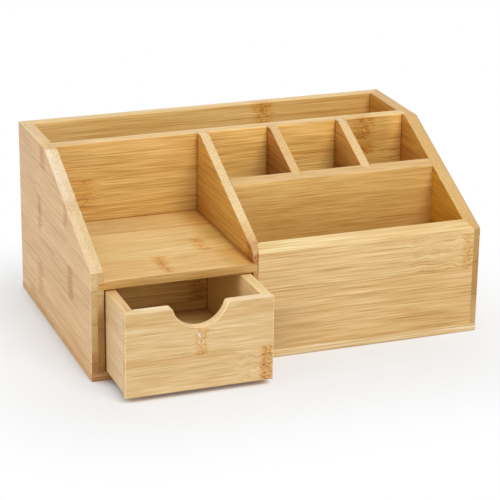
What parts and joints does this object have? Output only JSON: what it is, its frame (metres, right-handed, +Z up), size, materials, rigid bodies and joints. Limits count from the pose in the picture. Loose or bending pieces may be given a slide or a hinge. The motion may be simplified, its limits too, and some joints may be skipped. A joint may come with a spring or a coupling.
{
  "type": "desk organizer with drawer",
  "caption": "Bamboo desk organizer with sloping sides, a pull-out drawer under an open shelf, a rear letter slot, pen cells and a front bay.",
  "frame": {"origin": "middle of the underside of the base board", "axes": "+X to the right along the width as seen from the front, -Y to the front where the drawer opens, +Z up"},
  "size_m": [0.33, 0.264, 0.15],
  "materials": {
    "bamboo_carcass": "satin clear-lacquered laminated bamboo",
    "bamboo_drawer": "satin clear-lacquered laminated bamboo, paler",
    "screw_steel": "plain zinc-plated steel"
  },
  "bodies": {
    "carcass": {"base_board": "bamboo_carcass", "left_side_panel": "bamboo_carcass", "right_side_panel": "bamboo_carcass", "back_panel": "bamboo_carcass", "middle_panel": "bamboo_carcass", "centre_divider": "bamboo_carcass", "shelf": "bamboo_carcass", "front_panel": "bamboo_carcass", "pen_row_front": "bamboo_carcass", "pen_divider_1": "bamboo_carcass", "pen_divider_2": "bamboo_carcass", "base_screws": "screw_steel"},
    "drawer": {"drawer_front": "bamboo_drawer", "drawer_left_side": "bamboo_drawer", "drawer_right_side": "bamboo_drawer", "drawer_back": "bamboo_drawer", "drawer_bottom": "bamboo_drawer"}
  },
  "joints": [
    {"name": "drawer_slide", "type": "slide", "parent": "carcass", "child": "drawer", "axis": [0, -1, 0], "range_m": [-0.0437, 0.065]}
  ]
}
